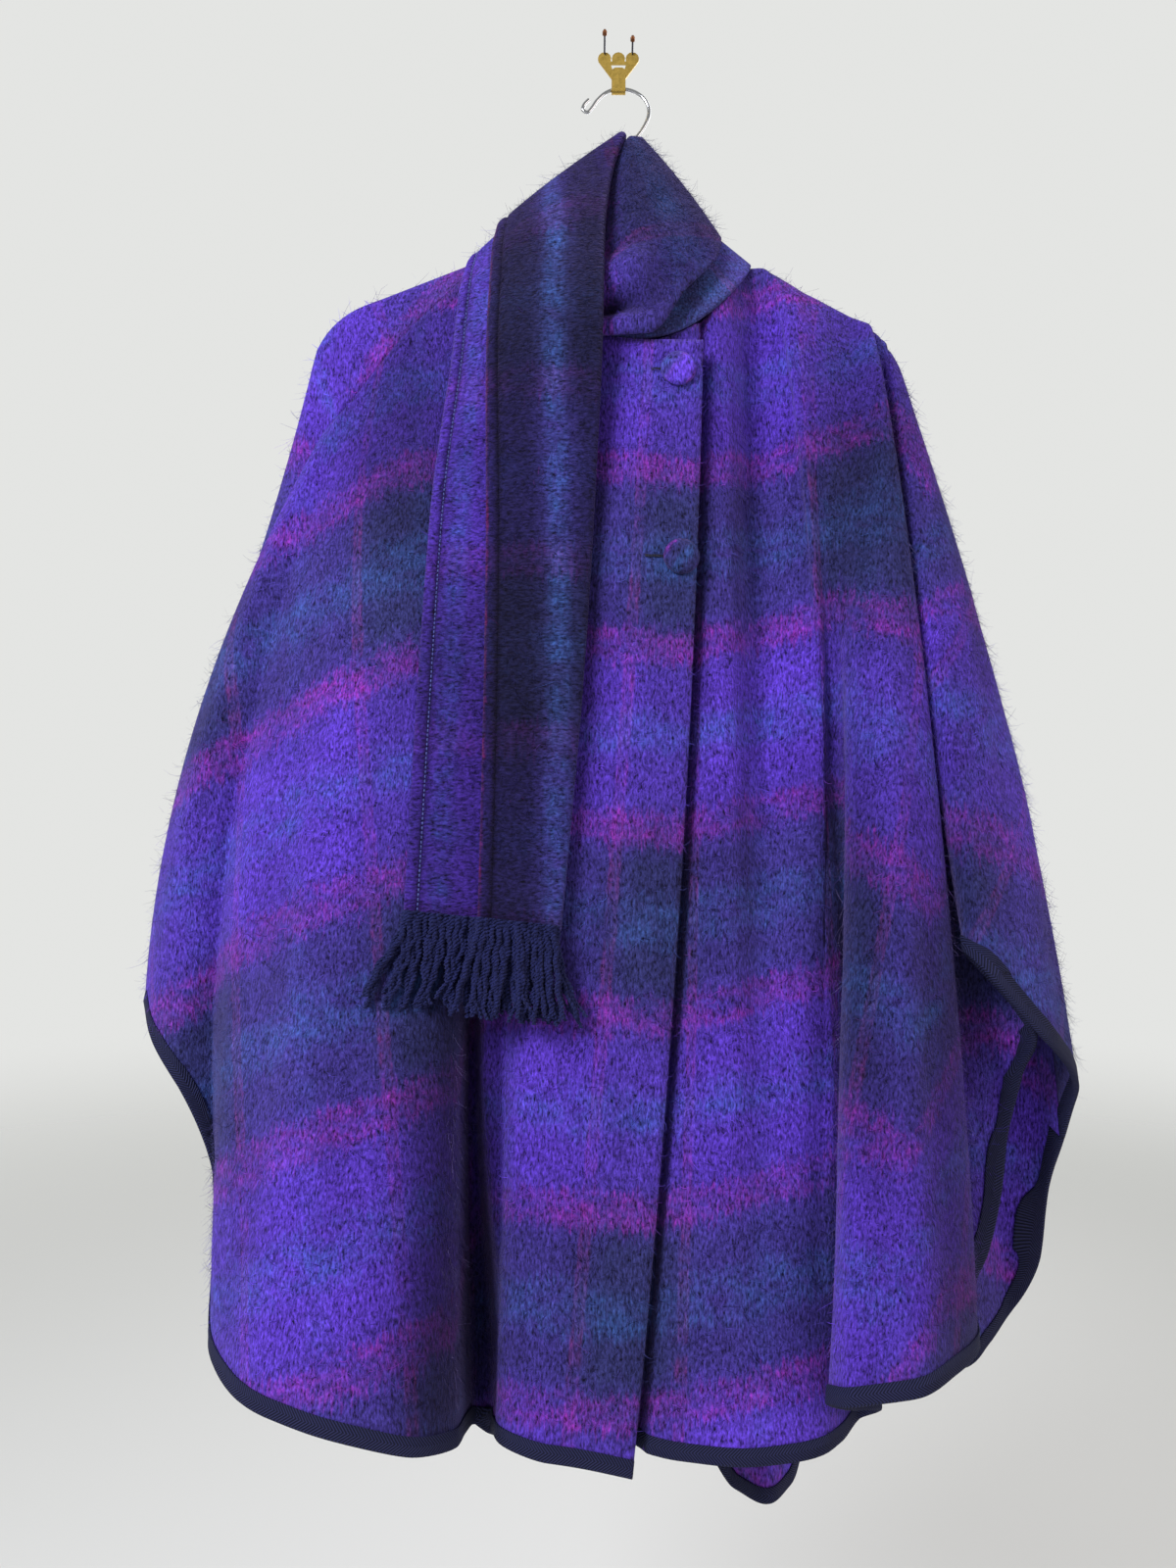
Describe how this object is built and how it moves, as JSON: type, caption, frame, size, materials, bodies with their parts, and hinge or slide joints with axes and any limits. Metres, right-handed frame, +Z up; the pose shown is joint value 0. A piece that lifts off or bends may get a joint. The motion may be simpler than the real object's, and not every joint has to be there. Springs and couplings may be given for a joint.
{
  "type": "plaid poncho cape with scarf on a coat hanger and brass wall hook",
  "caption": "Button-front mohair poncho cape with an attached fringed scarf, draped in folds on a coat hanger that hangs from a brass wall hook.",
  "frame": {"origin": "on the flat back of the wall hook's plate, midway between its sides and 7 mm under its lobes' top", "axes": "+Z up, +Y into the wall, +X to the viewer's right; the garment hangs in front of the wall towards -Y"},
  "size_m": [0.7005, 0.2307, 1.1269],
  "materials": {
    "mohair": "brushed mohair plaid in violet, navy, blue and magenta",
    "braid": "navy woven braid",
    "yarn": "twisted navy yarn",
    "button cover": "cloth cover of the same mohair",
    "wood": "waxed",
    "chrome": "polished wire",
    "brass": "pressed and polished"
  },
  "bodies": {
    "root": {"back": "mohair", "front_right": "mohair", "front_left": "mohair", "collar": "mohair", "scarf_cross": "mohair", "scarf_tail": "mohair", "braid_back": "braid", "braid_front_right": "braid", "braid_front_left": "braid", "fringe_under": "yarn", "fringe_over": "yarn", "button_top": "button cover", "button_lower": "button cover", "hanger_bar": "wood", "hanger_hook": "chrome", "wall_hook": "brass", "pin_left": "brass", "pin_right": "brass"}
  },
  "joints": []
}
